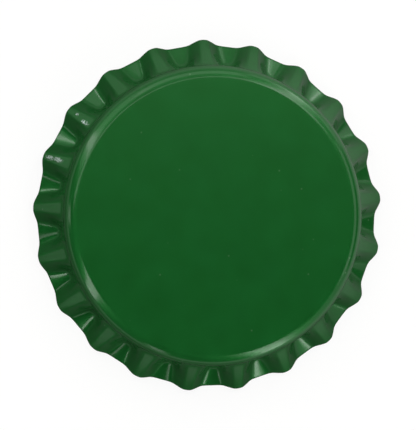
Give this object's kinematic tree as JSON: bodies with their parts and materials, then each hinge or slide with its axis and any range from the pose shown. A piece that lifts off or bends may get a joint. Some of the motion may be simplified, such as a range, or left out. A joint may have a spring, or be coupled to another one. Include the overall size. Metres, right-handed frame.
{
  "type": "bottle cap",
  "caption": "Round pry-off steel cap with a shallow domed panel, a rounded shoulder and a flared fluted skirt, and a moulded sealing liner inside.",
  "frame": {"origin": "middle of the circle that the skirt's edge stands on, on the cap's axis", "axes": "+Z along the cap's axis, from the open mouth up through the panel; one tooth points along +Y"},
  "size_m": [0.032, 0.0319, 0.006],
  "materials": {
    "enamelled_steel": "gloss",
    "liner_plastic": "satin"
  },
  "bodies": {
    "root": {"shell": "enamelled_steel", "liner": "liner_plastic"}
  },
  "joints": []
}
